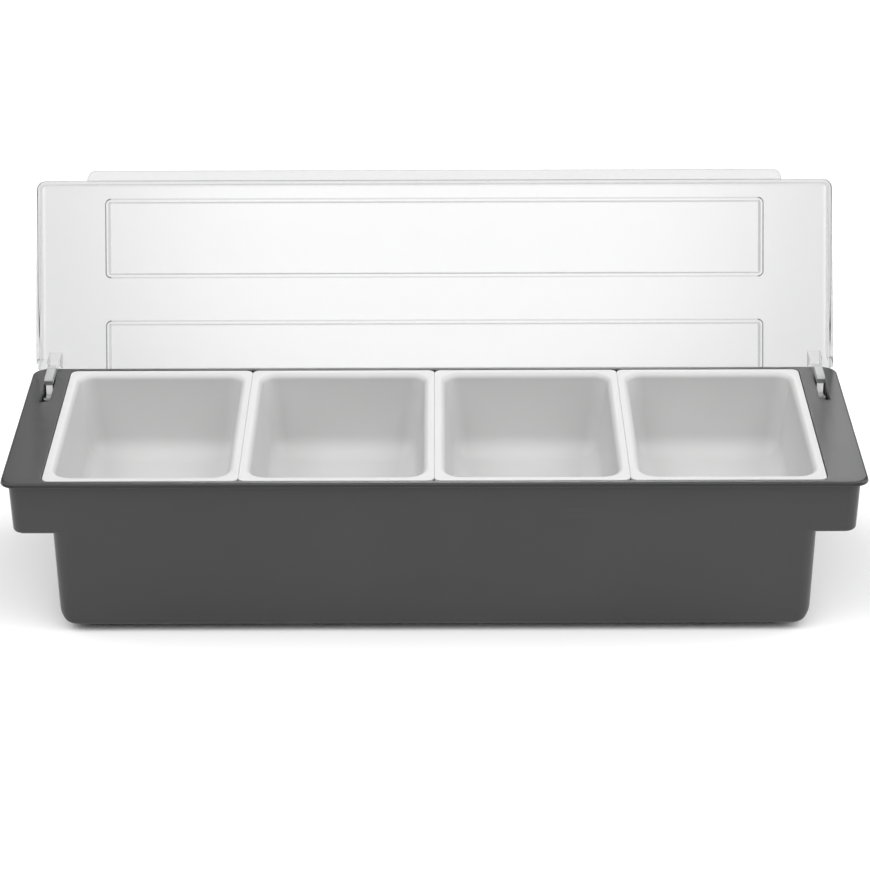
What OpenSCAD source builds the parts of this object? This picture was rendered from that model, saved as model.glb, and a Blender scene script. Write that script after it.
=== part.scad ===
// Condiment caddy: a dark moulded base with hand-hold wings, four lift-out
// inserts in one row, and one clear lid on two gooseneck hinge arms.
// Millimetres. X runs along the row, the front is at -Y and Z is up.
// The origin is the centre of the base's underside, and the feet reach below it.

/* [Base] */
// Length across the rim
base_w = 475; // [440:1:600]
// Depth across the rim, front to back
base_d = 155; // [125:1:190]
// Height of the base, from its underside to its rim
base_h = 90.5; // [78:0.5:130]
// Thickness of the deck and of its rim edge
rim_t = 2.5; // [2:0.1:3.5]
// Overhang of the rim past the walls below it
rim_over = 4; // [3.5:0.5:8]
// Plan radius of the rim corners
rim_r = 8.5; // [5:0.5:11]
// Height of the wing skirts, from the rim down
skirt_h = 32.5; // [27:0.5:34]
// Wall thickness of the wing skirts
skirt_wall = 2.8; // [2.2:0.1:3.2]
// Clearance between the end inserts and the lower body, where it narrows
well_gap = 1.95; // [0.3:0.05:2]
// Thickness of the lower body walls
body_wall = 2; // [1.6:0.1:2.4]
// Thickness of the floor
floor_t = 3; // [2.5:0.1:5]
// Radius of the lower edges at the two ends
end_r = 9; // [5:0.5:12]
// Radius of the lower edges at the front and back
long_r = 3; // [2:0.5:6]
// Plan radius of the lower body's corners
body_r = 8; // [6:0.5:12]
// How far the walls draw in from the wings to the floor
body_draft = 1.3; // [0:0.1:2]

/* [Inserts] */
// Depth of an insert below its rim
insert_h = 52; // [40:1:65]
// Wall thickness of an insert
insert_wall = 1.6; // [1.2:0.1:2]
// Width of an insert's flat rim, from its edge to its mouth
insert_rim = 6.2; // [5.8:0.1:8]
// Thickness of an insert's rim
insert_rim_t = 2.4; // [1.6:0.1:2.8]
// Plan radius of the rim corners of an insert
insert_rim_r = 4; // [2:0.5:6]
// Plan radius of the mouth corners of an insert
mouth_r = 9; // [6:0.5:14]
// Radius between the walls and the floor of an insert
insert_floor_r = 9; // [5:0.5:12]
// How far each end wall of an insert draws in, from rim to floor
insert_draft = 5; // [4.6:0.1:6.5]
// How far each long wall of an insert draws in, from rim to floor
insert_side_draft = 4; // [3:0.1:5]
// Gap between neighbouring inserts, and round the row
insert_gap = 0.3; // [0.2:0.05:0.6]
// Bare deck between the row and the rim edge at the front and back
deck_margin = 4.5; // [4:0.1:6]
// Bare deck between the row and the rim edge at each end
end_margin = 23; // [23:0.5:28]

/* [Lid] */
// Thickness of the clear plate
lid_t = 2.4; // [2:0.1:3]
// How far the lid's sides stand in from the rim edge
lid_inset = 2; // [1:0.5:3]
// Distance from the closed lid's front to the base's front edge
lid_setback = 0.6; // [0:0.1:3]
// Plan radius of the front corners
lid_corner_r = 5.5; // [3:0.5:8]
// Slope of the closed lid, high at the back
lid_slope = 5; // [4:0.25:5.5]
// How far the open lid leans back from upright
lid_lean = 23; // [20:0.5:26]
// Distance from each side of the lid to the end of the lifting tab
tab_inset = 30; // [10:0.5:150]
// How far the tab stands out
tab_reach = 6; // [4:0.5:10]
// Plain plate between each end of a raised panel and the side of the lid
panel_end = 40; // [20:0.5:100]
// Plain plate between the two panels
panel_gap = 25.8; // [15:0.1:40]
// Plain plate between the lid's front edge and the first panel
panel_margin = 10.8; // [8:0.1:14]
// Plain plate behind the second panel
panel_back = 9.5; // [8:0.1:20]
// Plan radius of the panel corners
panel_r = 4.5; // [3.5:0.5:8]
// Width of the step round a panel
panel_step = 2.6; // [1.5:0.1:3]
// How high a panel is raised
panel_rise = 1.2; // [0.6:0.1:1.5]
// Gap between the closed lid and the deck
lid_gap = 0.3; // [0.2:0.05:0.6]
// Gap between the open lid's lower edge and the back wall that stops it
stop_gap = 0.5; // [0.3:0.05:1]

/* [Hinge] */
// Height of the deck above the pivot
pivot_drop = 10; // [9.5:0.1:12]
// Distance from the pivot to the back edge of the rim
pivot_inset = 23.5; // [22.5:0.1:25]
// Clearance of the plate as it swings past the back edge of the rim
rim_pass = 0.46; // [0.3:0.01:2]
// Distance of each arm's middle from the rim's end edge
arm_inset = 12; // [11.5:0.1:12.5]
// Thickness of the arm's upright leg along the row
arm_leg_w = 3.2; // [2.6:0.1:4.4]
// Thickness of the arm where it crosses the deck
arm_bar_w = 5; // [4.6:0.1:5.4]
// Width of the arm's root on the plate
arm_root_w = 7.6; // [7:0.1:10]
// Height of the arm's crossing bar
arm_bar_t = 3.8; // [3:0.1:4.5]
// Depth of the upright leg, front to back
arm_leg_d = 5; // [4:0.1:6]
// Clearance of the arm to the deck and to the sides of its slot
arm_gap = 0.4; // [0.3:0.05:0.6]
// Clearance of the arm to the two ends of its slot
slot_end_gap = 2; // [1:0.25:3.5]
// Diameter of the hinge pins
pin_d = 4; // [3:0.1:5]
// Radial clearance of a pin in the base, a driven fit
pin_fit = 0.01; // [0.01:0.01:0.03]
// Radial clearance of the arm's eye on its pin
eye_fit = 0.07; // [0.03:0.01:0.1]
// Wall of the eye and of the lugs round a pin
eye_wall = 2.5; // [2:0.1:3]
// Thickness of the inner lug
lug_t = 3.5; // [2.5:0.1:4]

/* [Feet] */
// Diameter of a rubber foot
foot_d = 13; // [8:0.5:16]
// Distance that the base is held off the table
foot_h = 4; // [1:0.5:6]
// Depth of the seat that a foot is glued in
foot_seat = 1; // [0.5:0.25:1.5]
// Distance from the lower body's end to the middle of a foot
foot_inset_x = 22; // [20:1:40]
// Distance from the front or back wall to the middle of a foot
foot_inset_y = 18; // [15:1:30]

/* [Hidden] */

$fn = 64;
LEFT = -1;
RIGHT = 1;
FRONT = -1;
REAR = 1;
INSERTS = 4;
ARC_STEPS = 8;
PAST = 1; // how far a cut runs past the face that it opens
OVERLAP = 0.01; // how far two cuts that meet run into each other
FOOT_FIT = 0.05; // radial clearance of a foot in its seat

// Base
skirt_w = base_w - 2 * rim_over;
skirt_d = base_d - 2 * rim_over;
skirt_z = base_h - skirt_h;
skirt_r = rim_r - rim_over / 2;
deck_z = base_h - rim_t;
cove = rim_over / 2; // step between the walls and the rim edge
cove_h = 3;
cove_z = deck_z - cove_h;

// Row of inserts
row_w = base_w - 2 * end_margin;
row_d = base_d - 2 * deck_margin;
recess_w = row_w + 2 * insert_gap;
recess_d = row_d + 2 * insert_gap;
pitch = row_w / INSERTS;
insert_w = pitch - insert_gap;
mouth_w = insert_w - 2 * insert_rim;
mouth_d = row_d - 2 * insert_rim;
insert_z = base_h - insert_h;
ledge_z = base_h - insert_rim_t;
ledge_w = 2.8; // width of the ledge that carries the rims
opening_w = recess_w - 2 * ledge_w;
opening_d = recess_d - 2 * ledge_w;
upper_w = opening_w + 2 * body_wall; // the body is wider inside the wings
shoulder_t = 2.2; // thickness of the shoulder between upper and lower body
shoulder_top = skirt_z + shoulder_t;
// the end inserts' outer walls, where they pass the shoulder
row_end = row_w / 2 - insert_gap / 2 - insert_rim + insert_wall
    - insert_draft * (base_h - shoulder_top) / insert_h;
body_w = 2 * (row_end + well_gap + body_wall);

// Hinge, measured from the pivot. A bar face at height h of the open lid
// crosses a level of the closed lid at bar_at(h, level) along the bar.
pivot_y = base_d / 2 - pivot_inset;
pivot_z = base_h - pivot_drop;
arm_x = base_w / 2 - arm_inset;
bar_z = pivot_drop + 2 * arm_gap;
bar_top = bar_z + arm_bar_t;
turn = 90 + lid_lean + lid_slope;
lid_rise = norm([pivot_inset, pivot_drop]) + rim_pass; // from the pivot to the plate
swing_clear = 1.5; // how far the lid's skirts, roots and ribs stay off the rim
function bar_at(h, level) = (level - h * cos(turn)) / sin(turn);
slot_w = arm_bar_w + 2 * arm_gap;
slot_front = pivot_y + bar_at(bar_top, pivot_drop) * cos(turn) - bar_top * sin(turn) - slot_end_gap;
slot_tail = 2; // the slot runs on behind the upright leg
slot_back = pivot_y + arm_leg_d / 2 + slot_end_gap + slot_tail;
root_y = bar_at(bar_top, pivot_drop + swing_clear);
root_taper = 3; // length over which the bar widens into its root
eye_r = pin_d / 2 + eye_wall;
lug_r = eye_r + 1;
lug_in = arm_x - slot_w / 2 - lug_t;
pin_recess = 0.2; // how far a pin's outer end lies inside the wing's face
pin_end = skirt_w / 2 - pin_recess;

// Lid, in the plate's own frame: the pivot is the origin, Y runs back along
// the plate and Z is the plate's upward normal when the lid is closed
lid_w = base_w - 2 * lid_inset;
lid_top = lid_rise + lid_t;
lid_front = -(pivot_y + base_d / 2 - lid_setback - lid_rise * sin(lid_slope)) / cos(lid_slope);
lid_back = (pivot_y + lid_rise * cos(lid_lean) - skirt_d / 2 - stop_gap) / sin(lid_lean);
lid_d = lid_back - lid_front;
tab_w = lid_w - 2 * tab_inset;
tab_flat = 0.5; // straight edge left at each end of the tab
panel_w = lid_w - 2 * panel_end;
panel_d = (lid_d - panel_margin - panel_gap - panel_back) / 2;
function edge_z(y) = (pivot_drop + lid_gap - y * sin(lid_slope)) / cos(lid_slope);
// the side skirts end level with the deck and clear of it when the lid is open
edge_start = (pivot_drop + lid_gap) / cos(lid_slope);
skirt_end = -(pivot_drop + swing_clear + lid_rise * sin(lid_lean)) / cos(lid_lean);
skirt_foot = -(pivot_drop + swing_clear + edge_start * sin(lid_lean))
    / (cos(lid_lean) - tan(lid_slope) * sin(lid_lean));

// Outline of a rectangle with round corners, centred
module round_rect(w, d, r) {
    square([w - 2 * r, d], center = true);
    square([w, d - 2 * r], center = true);
    for (x = [-1, 1], y = [-1, 1]) {
        translate([x * (w / 2 - r), y * (d / 2 - r)]) circle(r);
    }
}

// A flat plate with round corners, from z low to high
module plate(w, d, r, low, high) {
    translate([0, 0, low]) linear_extrude(high - low) round_rect(w, d, r);
}

// Right half of a tub's section: width w at height h, drawn in by draft at
// the floor, with radius r between wall and floor
function tub_side(w, h, r, draft) =
    let (lean = atan(draft / h), x = w / 2 - draft - r * (1 - sin(lean)) / cos(lean))
    [for (i = [0:ARC_STEPS])
        let (a = -90 + (90 - lean) * i / ARC_STEPS)
        [x + r * cos(a), r + r * sin(a)]];

module tub_section(w, h, r, draft) {
    side = tub_side(w, h, r, draft);
    last = len(side) - 1;
    left = [for (i = [0:last]) [-side[last - i][0], side[last - i][1]]];
    polygon(concat(side, [[w / 2, h], [-w / 2, h]], left));
}

// A tub with upright corners, drawn in walls and a rounded lower edge
module tub(w, d, h, corner_r, end_r, long_r, end_draft, long_draft) {
    intersection() {
        linear_extrude(h) round_rect(w, d, corner_r);
        rotate([90, 0, 0]) linear_extrude(d, center = true) tub_section(w, h, end_r, end_draft);
        rotate([90, 0, 90]) linear_extrude(w, center = true) tub_section(d, h, long_r, long_draft);
    }
}

// A lug or boss round a pin, hanging from the deck, between x low and high
module lug(low, high) {
    translate([low, pivot_y, pivot_z]) rotate([90, 0, 90]) linear_extrude(high - low) {
        circle(lug_r);
        translate([-lug_r, 0]) square([2 * lug_r, pivot_drop - rim_t / 2]);
    }
}

// Both sides of the base alike
module both_ends() {
    children();
    mirror([1, 0, 0]) children();
}

module base_shell() {
    difference() {
        union() {
            plate(base_w, base_d, rim_r, deck_z, base_h);
            plate(skirt_w + 2 * cove, skirt_d + 2 * cove, skirt_r + cove, cove_z, base_h);
            plate(skirt_w, skirt_d, skirt_r, skirt_z, base_h);
        }
        plate(
            skirt_w - 2 * skirt_wall, skirt_d - 2 * body_wall, skirt_r - body_wall,
            skirt_z - PAST, deck_z
        );
    }
    // frame round the opening, upper body between the wings, and lower body
    plate(recess_w + 2 * ledge_w, skirt_d, skirt_r, cove_z, base_h);
    plate(upper_w, skirt_d, skirt_r, skirt_z, base_h);
    tub(body_w, skirt_d, skirt_z, body_r, end_r, long_r, body_draft, body_draft / 2);
    both_ends() {
        lug(lug_in, lug_in + lug_t);
        lug(arm_x + slot_w / 2, skirt_w / 2 - skirt_wall / 2);
    }
}

module base() {
    color("#2a2b2d") difference() {
        base_shell();
        // ice well below the inserts
        translate([0, 0, floor_t]) {
            tub(
                body_w - 2 * body_wall, skirt_d - 2 * body_wall, skirt_z - floor_t,
                body_r - body_wall, end_r - body_wall, long_r, body_draft, body_draft / 2
            );
        }
        plate(
            body_w - 2 * body_wall, skirt_d - 2 * body_wall, body_r - body_wall,
            skirt_z - PAST, shoulder_top + PAST
        );
        plate(opening_w, opening_d, skirt_r, shoulder_top, base_h + PAST);
        plate(recess_w, recess_d, insert_rim_r + insert_gap, ledge_z, base_h + PAST);
        both_ends() {
            translate([arm_x - slot_w / 2, slot_front, deck_z - PAST]) {
                cube([slot_w, slot_back - slot_front, rim_t + 2 * PAST]);
            }
            translate([lug_in - PAST, pivot_y, pivot_z]) rotate([0, 90, 0]) {
                cylinder(d = pin_d + 2 * pin_fit, h = base_w / 2 - lug_in);
            }
        }
        for (x = [LEFT, RIGHT], y = [FRONT, REAR]) {
            foot_place(x, y) cylinder(r = foot_d / 2 + FOOT_FIT, h = foot_h + foot_seat);
        }
    }
}

module insert(number) {
    translate([(number - (INSERTS + 1) / 2) * pitch, 0, 0]) color("#eeeeec") difference() {
        union() {
            plate(insert_w, row_d, insert_rim_r, ledge_z, base_h);
            translate([0, 0, insert_z]) {
                tub(
                    mouth_w + 2 * insert_wall, mouth_d + 2 * insert_wall, insert_h,
                    mouth_r + insert_wall, insert_floor_r + insert_wall,
                    insert_floor_r + insert_wall, insert_draft, insert_side_draft
                );
            }
        }
        translate([0, 0, insert_z + insert_wall]) {
            tub(
                mouth_w, mouth_d, insert_h - insert_wall, mouth_r,
                insert_floor_r, insert_floor_r, insert_draft, insert_side_draft
            );
        }
        plate(mouth_w, mouth_d, mouth_r, base_h - OVERLAP, base_h + PAST);
    }
}

// Side view of the lid without its arms, in the plate's frame
module lid_side() {
    polygon([
        [lid_front, lid_top], [lid_front, edge_z(lid_front)], [skirt_foot, edge_z(skirt_foot)],
        [skirt_end, lid_rise], [lid_back, lid_rise], [lid_back, lid_top]
    ]);
}

module lid_plan(inset) {
    y = lid_front + lid_d / 2;
    r = lid_corner_r - inset;
    translate([0, y]) round_rect(lid_w - 2 * inset, lid_d - 2 * inset, r);
    // the inside runs out through the open back
    if (inset > 0) {
        translate([-lid_w / 2 + inset, y]) square([lid_w - 2 * inset, lid_d]);
    }
}

module panel(number, grow, low, high) {
    y = lid_front + panel_margin + panel_d / 2 + number * (panel_d + panel_gap);
    translate([0, y, 0]) {
        plate(panel_w + 2 * grow, panel_d + 2 * grow, panel_r + grow, low, high);
    }
}

module tab() {
    r = tab_reach - tab_flat;
    y = lid_front;
    lip = [
        [y - tab_reach, edge_z(y - tab_reach)], [y + lid_t / 2, edge_z(y + lid_t / 2)],
        [y + lid_t / 2, edge_z(y) + lid_t], [y - tab_reach, edge_z(y) + lid_t]
    ];
    intersection() {
        rotate([90, 0, 90]) linear_extrude(tab_w, center = true) polygon(lip);
        linear_extrude(lid_top) translate([0, y]) round_rect(tab_w, 2 * tab_reach, r);
    }
}

// Plate, skirts, panels and tab, in the plate's frame
module lid_cover() {
    difference() {
        union() {
            intersection() {
                linear_extrude(lid_top) lid_plan(0);
                rotate([90, 0, 90]) linear_extrude(lid_w, center = true) lid_side();
            }
            for (n = [0, 1]) panel(n, 0, lid_rise, lid_top + panel_rise);
            tab();
        }
        translate([0, 0, -PAST]) linear_extrude(lid_rise + PAST) lid_plan(lid_t);
        for (n = [0, 1]) panel(n, -panel_step, lid_rise - PAST, lid_rise + panel_rise);
    }
}

// Side view of the arm's bar and its root rib, lid open, from the pivot
module bar_side() {
    function plate_y(z) = (lid_rise + lid_t / 2 + z * sin(lid_lean)) / cos(lid_lean);
    rib_y = pivot_inset + swing_clear;
    polygon([
        [-arm_leg_d / 2, bar_z], [rib_y, bar_z], [plate_y(pivot_drop / 2), pivot_drop / 2],
        [plate_y(bar_top), bar_top], [-arm_leg_d / 2, bar_top]
    ]);
}

// Gooseneck arm, lid open, from the pivot: eye, upright leg, crossing bar
module arm() {
    reach = lid_rise / cos(lid_lean) + bar_top;
    difference() {
        union() {
            rotate([0, 90, 0]) cylinder(r = eye_r, h = arm_bar_w, center = true);
            translate([-arm_leg_w / 2, -arm_leg_d / 2, 0]) {
                cube([arm_leg_w, arm_leg_d, bar_top]);
            }
            intersection() {
                rotate([90, 0, 90]) linear_extrude(arm_root_w, center = true) bar_side();
                linear_extrude(bar_top) union() {
                    translate([-arm_bar_w / 2, -arm_leg_d]) square([arm_bar_w, reach]);
                    polygon([
                        [-arm_bar_w / 2, root_y], [arm_bar_w / 2, root_y],
                        [arm_root_w / 2, root_y + root_taper], [arm_root_w / 2, reach],
                        [-arm_root_w / 2, reach], [-arm_root_w / 2, root_y + root_taper]
                    ]);
                }
            }
        }
        rotate([0, 90, 0]) {
            cylinder(d = pin_d + 2 * eye_fit, h = arm_bar_w + 2 * PAST, center = true);
        }
    }
}

// The lid as it stands open, leaning back over the rim
module lid() {
    color("#dfe6e8", 0.45) translate([0, pivot_y, pivot_z]) {
        rotate([-(90 + lid_lean), 0, 0]) lid_cover();
        both_ends() translate([arm_x, 0, 0]) arm();
    }
}

module hinge_pin(side) {
    chamfer = 0.4;
    x = side == LEFT ? -pin_end : lug_in;
    color("#b9bcc0") translate([x, pivot_y, pivot_z]) rotate([0, 90, 0]) {
        cylinder(d1 = pin_d - 2 * chamfer, d2 = pin_d, h = chamfer);
        translate([0, 0, chamfer]) cylinder(d = pin_d, h = pin_end - lug_in - 2 * chamfer);
        translate([0, 0, pin_end - lug_in - chamfer]) {
            cylinder(d1 = pin_d, d2 = pin_d - 2 * chamfer, h = chamfer);
        }
    }
}

module foot_place(x_side, y_side) {
    translate([
        x_side * (body_w / 2 - foot_inset_x),
        y_side * (skirt_d / 2 - foot_inset_y),
        -foot_h
    ]) children();
}

module foot(x_side, y_side) {
    color("#202020") foot_place(x_side, y_side) cylinder(d = foot_d, h = foot_h + foot_seat);
}

base();
lid();
insert(1);  // insert_1
insert(2);  // insert_2
insert(3);  // insert_3
insert(4);  // insert_4
hinge_pin(LEFT);  // hinge_pin_left
hinge_pin(RIGHT);  // hinge_pin_right
foot(LEFT, FRONT);  // foot_front_left
foot(RIGHT, FRONT);  // foot_front_right
foot(LEFT, REAR);  // foot_rear_left
foot(RIGHT, REAR);  // foot_rear_right
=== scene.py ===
"""Visual model of a condiment caddy.

A dark moulded base, four white inserts and one clear lid on gooseneck hinges.
"""

import math
from types import SimpleNamespace

import bmesh
import bpy
from bpy.props import FloatProperty, FloatVectorProperty, PointerProperty
from mathutils import Matrix, Vector


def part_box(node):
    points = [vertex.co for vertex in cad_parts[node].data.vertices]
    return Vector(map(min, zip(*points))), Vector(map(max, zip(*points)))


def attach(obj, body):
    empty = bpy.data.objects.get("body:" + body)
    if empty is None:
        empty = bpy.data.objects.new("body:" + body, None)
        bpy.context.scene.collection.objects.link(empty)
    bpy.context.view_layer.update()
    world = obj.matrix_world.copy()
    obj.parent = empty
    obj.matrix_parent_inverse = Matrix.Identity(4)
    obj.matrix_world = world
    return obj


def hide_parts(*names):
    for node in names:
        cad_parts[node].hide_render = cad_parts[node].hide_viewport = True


bl_info = {
    "name": "Condiment caddy",
    "version": (1, 0, 0),
    "blender": (4, 5, 0),
    "location": "3D View > Sidebar > Caddy",
    "description": "Builds a condiment caddy with lift-out inserts and a clear hinged lid",
    "category": "Add Mesh",
}

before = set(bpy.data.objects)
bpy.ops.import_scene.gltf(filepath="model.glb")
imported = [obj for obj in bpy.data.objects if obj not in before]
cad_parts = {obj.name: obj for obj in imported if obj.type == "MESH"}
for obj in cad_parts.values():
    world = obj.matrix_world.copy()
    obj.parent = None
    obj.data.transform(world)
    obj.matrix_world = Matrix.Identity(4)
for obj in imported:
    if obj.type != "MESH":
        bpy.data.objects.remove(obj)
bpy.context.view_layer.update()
BASE_LOW, BASE_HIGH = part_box("base")
FOOT_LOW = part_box("foot_front_left")[0]
PIN_LOW, PIN_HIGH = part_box("hinge_pin_right")
INSERTS = ("insert_1", "insert_2", "insert_3", "insert_4")
FEET = ("foot_front_left", "foot_front_right", "foot_rear_left", "foot_rear_right")
PINS = ("hinge_pin_left", "hinge_pin_right")

MM = 0.001  # meshes are worked in millimetres and finished in metres
X, Y, Z = range(3)
SIDES = (-1, 1)
CORNER_STEPS = 10  # facets of a quarter turn in plan
ROUND_STEPS = 4  # facets of a rounded edge
LIP_STEPS = 6  # facets of an insert's rounded lip
MERGE = 1e-4  # points nearer than this, in millimetres, are one
CREASE = math.radians(35)  # a sharper edge than this is shaded hard
TIGHTEST = 0.3  # least corner radius of a stepped outline, in millimetres
SLIVER = 0.01  # a distance too small to see, that keeps edges from meeting exactly
OVERLAP = 1  # how far a solid runs on inside or past another that it joins or cuts
PAST = 20  # how far a cutting block runs on past the lid

# Small sizes of the pieces, in millimetres
SHOULDER = (1.9, 2.5)  # start and end of the ice well's shoulder above the skirts' lower edge
POCKET_EDGE = (0.3, 0.7)  # width and height of the chamfer inside the skirts' lower edge
POCKET_ROOF = ((0.0, 0.8), (-0.3, 0.2), (-0.9, 0.0))  # a pocket's growth at drops from the deck
SLOT_CHAMFER, SLOT_CORNER = (0.3, 0.4), 0.5  # width and height at the deck, and plan radius
PIN_SINK, PIN_CHAMFER = 0.35, 0.4  # countersink of the pin holes, chamfer of the pins and eyes
RAISED_SIDES, SUNK_SIDES = 0.6, 1.5  # how much wider a panel's slope is at its ends, out and in
BEND_OUT, BEND_IN, ARM_EDGE = 2.2, 1.2, 0.35  # radii of an arm's bend and of its edges
FOOT_RING, FOOT_DISH = 3.2, 0.4  # width of a foot's ring, and depth of the hollow inside it

# Finishes
EDGE_SHADE_SHARE = "walls"  # attribute of the lid's faces: their share of the painted edge shade
WALL_TURN = 0.3  # 1 minus the cosine of the angle from the plate at which a face is a wall
PANEL_ENDS = 3  # how near to the end of a panel its steps take all of the painted edge shade
SKIRT_SHARE = 0.25  # share of the painted edge shade that the lid's other walls take
FLOW_RANGE = (-0.6, 1.6)  # widens the flow marks' small differences in tone
SATIN = 0.05  # how much the flow marks change the roughness
SCUFF_ROUGH = 0.18  # how much rougher a scuff is
GRAIN_HIGH = 0.00004  # height of the moulded grain, in metres

# Stage
SENSOR = 36.0  # width of the camera's sensor, in millimetres
BOX_CORE = 0.3  # share of a softbox's spread that is at full brightness
SOFTBOXES = (  # soft lights: turn from the back to the right, height, spread, and brightness
    (180, 55, 40, 2.00),
    (-90, 50, 40, 2.45),
    (90, 50, 40, 2.40),
    (1, 26, 9, 9.5),
    (10, 26, 7, 1.2),
    (90, 15, 30, 1.6),
    (180, 25, 8, 2.2),
)


# Settings


def length(name, text, metres):
    """A length that a user can change."""
    return FloatProperty(
        name=name, description=text, default=metres, precision=5, unit="LENGTH", subtype="DISTANCE"
    )


def turn(name, text, degrees):
    """An angle that a user can change."""
    return FloatProperty(
        name=name, description=text, default=math.radians(degrees), unit="ROTATION", subtype="ANGLE"
    )


def colour(name, text, rgb):
    """A colour that a user can change."""
    return FloatVectorProperty(
        name=name, description=text, default=(*rgb, 1.0), size=4, min=0.0, max=1.0, subtype="COLOR"
    )


class CaddyBaseSettings(bpy.types.PropertyGroup):
    """Sizes and finish of the base"""

    width: length("Width", "Length across the rim", BASE_HIGH.x - BASE_LOW.x)
    depth: length("Depth", "Depth across the rim", BASE_HIGH.y - BASE_LOW.y)
    height: length("Height", "Underside to rim", BASE_HIGH.z)
    rim_thick: length("Rim thickness", "Thickness of the deck and its edge", 0.0025)
    rim_over: length("Rim overhang", "Overhang of the rim past the walls", 0.004)
    rim_lean: length("Rim lean", "How far the rim's edge draws in from its foot to its top", 0.0007)
    rim_corner: length("Rim corner", "Plan radius of the rim corners", 0.0085)
    rim_round: length("Rim rounding", "Radius of the rim's top edge", 0.0011)
    edge_round: length("Edge rounding", "Radius of the small edges under the rim", 0.0004)
    neck: length("Neck", "How far the wall draws in under the rim", 0.0003)
    neck_low: length("Neck start", "Where the neck starts below the rim's top", 0.0058)
    neck_high: length("Neck end", "Where the neck ends below the rim's top", 0.0043)
    skirt_draft: length("Skirt draft", "How far each wing's end wall draws in", 0.0011)
    skirt_high: length("Skirt height", "Height of the wing skirts, from the rim down", 0.0325)
    skirt_wall: length("Skirt wall", "Wall thickness of the wing skirts", 0.0028)
    skirt_round: length("Skirt rounding", "Radius of the skirts' lower edge", 0.002)
    body_width: length("Body width", "Width of the lower body at its top", 0.42158)
    body_corner: length("Body corner", "Plan radius of the lower body's corners", 0.008)
    body_wall: length("Body wall", "Wall thickness of the lower body", 0.002)
    body_draft: length("Body draft", "How far each end wall draws in", 0.0013)
    floor: length("Floor", "Thickness of the floor", 0.003)
    end_round: length("End rounding", "Radius of the lower edges at the ends", 0.009)
    long_round: length("Long rounding", "Radius of the lower edges at the front and back", 0.003)
    recess_width: length("Recess width", "Width of the recess that takes the inserts", 0.4296)
    recess_depth: length("Recess depth", "Depth of the recess, front to back", 0.1466)
    recess_corner: length("Recess corner", "Plan radius of the recess corners", 0.0043)
    ledge: length("Ledge", "Width of the ledge that carries the inserts", 0.0028)
    ledge_drop: length("Ledge drop", "Depth of the ledge below the deck", 0.0024)
    tint: colour("Plastic", "Colour of the moulded base", (0.032, 0.032, 0.0325))
    tint_pale: colour("Pale plastic", "Colour of its paler flow marks", (0.038, 0.038, 0.0385))


class CaddyInsertSettings(bpy.types.PropertyGroup):
    """Sizes and finish of the inserts"""

    high: length("Height", "Underside to rim", 0.052)
    wall: length("Wall", "Wall thickness", 0.0016)
    rim: length("Rim", "Width of the rim, from its edge to the mouth", 0.0062)
    rim_reach: length("Rim reach", "How far the rim's ends reach past the CAD part", 0.00014)
    rim_thick: length("Rim thickness", "Thickness of the rim", 0.0024)
    rim_corner: length("Rim corner", "Plan radius of the rim corners", 0.004)
    rim_round: length("Rim rounding", "Radius of the rim's outer edge", 0.0003)
    lip_round: length("Lip rounding", "Radius of the mouth's edge", 0.0032)
    mouth_corner: length("Mouth corner", "Plan radius of the mouth corners", 0.009)
    floor_round: length("Floor rounding", "Radius between walls and floor", 0.013)
    end_draft: length("End draft", "How far each side wall draws in", 0.005)
    long_draft: length("Long draft", "How far the front and back walls draw in", 0.004)
    tint: colour("Plastic", "Colour of the inserts", (0.540, 0.540, 0.539))
    tint_pale: colour("Pale plastic", "Colour of their paler flow marks", (0.570, 0.570, 0.569))


class CaddyLidSettings(bpy.types.PropertyGroup):
    """Sizes and finish of the lid"""

    width: length("Width", "Width of the lid", 0.471)
    front: length("Front", "Distance along the plate from the pivot to the front", 0.12916)
    back: length("Back", "Distance along the plate from the pivot to the rear edge", 0.01006)
    rise: length("Rise", "Distance from the pivot to the inside of the plate", 0.026)
    thick: length("Thickness", "Thickness of the plate and skirts", 0.0024)
    corner: length("Corner", "Plan radius of the corners", 0.0055)
    outer_round: length("Outer rounding", "Radius between the plate and skirts, outside", 0.0020)
    inner_round: length("Inner rounding", "Radius between the plate and skirts, inside", 0.0009)
    deck_gap: length("Deck gap", "Height of the closed lid's edge above the pivot", 0.0103)
    slope: turn("Slope", "Slope of the closed lid", 5)
    lean: turn("Lean", "How far the open lid leans back", 23)
    skirt_clear: length("Skirt clearance", "Height of the open side skirts over the deck", 0.0015)
    skirt_round: length("Skirt rounding", "Radius of the side skirts' free edges", 0.0009)
    tab_width: length("Tab width", "Width of the lifting tab", 0.411)
    tab_reach: length("Tab reach", "How far the tab stands out", 0.006)
    tab_corner: length("Tab corner", "Plan radius of the tab's ends", 0.0055)
    panel_width: length("Panel width", "Width of the raised panels", 0.391)
    panel_step: length("Panel step", "Width of the step at a panel's front and back", 0.0021)
    panel_side: length("Panel side step", "Width of the step at a panel's ends", 0.0025)
    panel_slope: length("Panel slope", "Width of the sloped wall round a panel", 0.0010)
    panel_rise: length("Panel rise", "How high a panel is raised", 0.0012)
    panel_corner: length("Panel corner", "Plan radius of the panel corners", 0.0030)
    panel_gap: length("Panel gap", "Plain plate between the panels", 0.0258)
    gate: length("Gate mark", "Radius of the moulding mark on the first panel", 0.0022)
    gate_side: length("Gate side", "Mark to the left of the panel's middle", 0.0095)
    gate_back: length("Gate back", "Mark behind the panel's middle", 0.0018)
    panel_margin: length("Panel margin", "Plain plate in front of the first panel", 0.0108)
    panel_back: length("Panel back", "Plain plate behind the second panel", 0.0095)
    tint: colour("Plastic", "Colour that the lid gives what is behind it", (0.602, 0.602, 0.604))
    frost_tint: colour("Frost", "Colour of the milky hinge arms", (0.55, 0.555, 0.56))
    # painted shade: the dark lines that refraction makes where the clear walls are seen edge on
    edge_shade: colour("Edge", "Colour of the clear plastic seen edge on", (0.050, 0.050, 0.051))


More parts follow.
